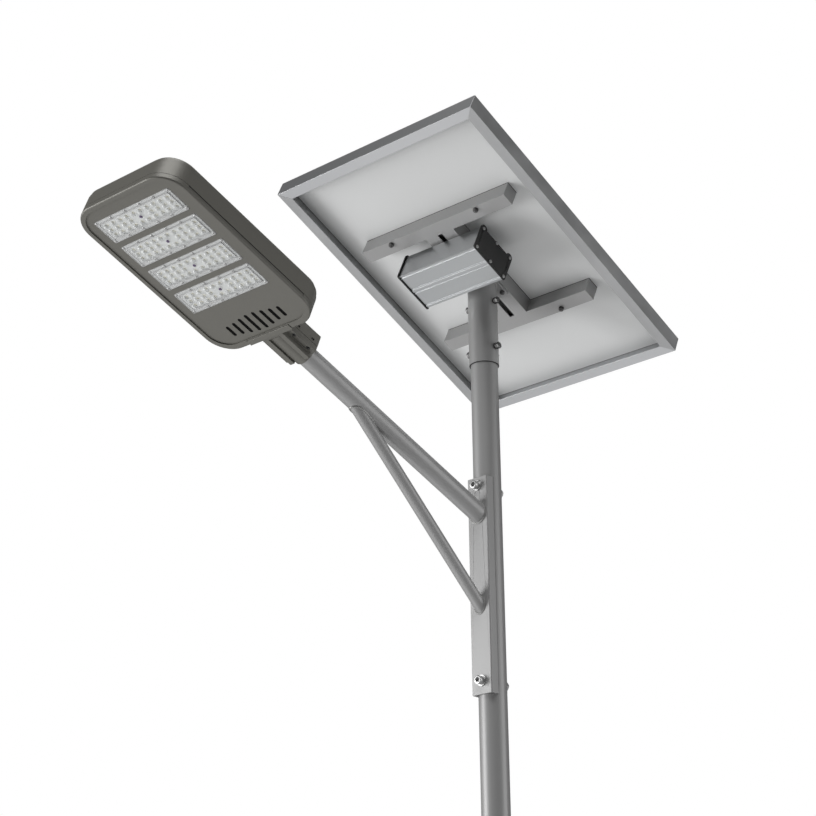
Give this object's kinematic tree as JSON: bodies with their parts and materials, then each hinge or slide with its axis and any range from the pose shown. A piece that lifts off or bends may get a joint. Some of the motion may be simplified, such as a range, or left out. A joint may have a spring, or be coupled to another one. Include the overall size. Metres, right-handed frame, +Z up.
{
  "type": "solar street lamp",
  "caption": "Solar street lamp: flanged round pole, strutted side arm with an LED head in modules, and a tilted solar panel with battery box on a swivelling sleeve.",
  "frame": {"origin": "on the pole's axis at the underside of the base flange", "axes": "+Z up along the pole, -Y the way the arm and lamp head point, +X across"},
  "size_m": [0.567, 1.4044, 3.7002],
  "materials": {
    "grey_paint": "satin light-grey coat over galvanised steel",
    "zinc_steel": "zinc-plated",
    "frame_aluminium": "clear anodised",
    "case_aluminium": "natural anodised extrusion",
    "black_paint": "black powder coat",
    "lamp_paint": "taupe-grey powder coat",
    "clear_lens": "clear polycarbonate",
    "solar_glass": "low-iron tempered",
    "silicon": "blue-black cells",
    "white_film": "white film",
    "board_white": "white solder mask",
    "phosphor": "yellow phosphor",
    "black_plastic": "moulded",
    "seal_rubber": "matt",
    "cell_wrap": "wrapped cells"
  },
  "bodies": {
    "pole": {"base_flange": "grey_paint", "base_gussets": "grey_paint", "pole_tube": "grey_paint", "arm_bracket": "grey_paint", "arm_tube": "grey_paint", "strut_tube": "grey_paint", "bracket_bolts": "zinc_steel", "bracket_washers": "zinc_steel", "bracket_nuts": "zinc_steel"},
    "mast_head": {"mast_sleeve": "grey_paint", "sleeve_nuts": "zinc_steel", "set_bolts": "zinc_steel", "head_plate": "grey_paint", "head_plate_bolts": "zinc_steel", "head_plate_nuts": "zinc_steel", "panel_bracket": "grey_paint", "bracket_pads": "seal_rubber", "rail_studs": "zinc_steel", "rail_nuts": "zinc_steel", "frame_front": "frame_aluminium", "frame_rear": "frame_aluminium", "frame_left": "frame_aluminium", "frame_right": "frame_aluminium", "corner_keys": "frame_aluminium", "panel_glass": "solar_glass", "solar_cells": "silicon", "panel_backsheet": "white_film", "junction_box": "black_plastic", "battery_case_upper": "case_aluminium", "battery_case_lower": "case_aluminium", "battery_end_left": "black_paint", "battery_end_right": "black_paint", "end_plate_screws": "zinc_steel", "battery_case_bolts": "zinc_steel", "case_spacers": "zinc_steel", "battery_gland": "black_plastic", "battery_cells": "cell_wrap", "cell_holders": "black_plastic", "charge_controller": "black_plastic"},
    "lamp_head": {"lamp_faceplate": "lamp_paint", "housing_seal": "seal_rubber", "lamp_housing": "lamp_paint", "housing_screws": "zinc_steel", "tube_saddle": "lamp_paint", "saddle_bolts": "zinc_steel", "saddle_nuts": "zinc_steel", "led_board_1": "board_white", "led_board_2": "board_white", "led_board_3": "board_white", "led_board_4": "board_white", "led_lens_1": "clear_lens", "led_lens_2": "clear_lens", "led_lens_3": "clear_lens", "led_lens_4": "clear_lens", "module_seals": "seal_rubber", "led_chips": "phosphor", "module_screws": "zinc_steel", "led_driver": "black_paint", "terminal_block": "black_plastic", "lead_grommet": "seal_rubber"}
  },
  "joints": [
    {"name": "mast_swivel", "type": "hinge", "parent": "pole", "child": "mast_head", "pos_m": [0, 0, 3.36], "axis": [0, 0, 1], "range_deg": [-180, 180]},
    {"name": "lamp_roll", "type": "hinge", "parent": "pole", "child": "lamp_head", "pos_m": [0, -0.59454, 3.14697], "axis": [0, -0.9323, 0.3616], "range_deg": [-15, 15]}
  ]
}
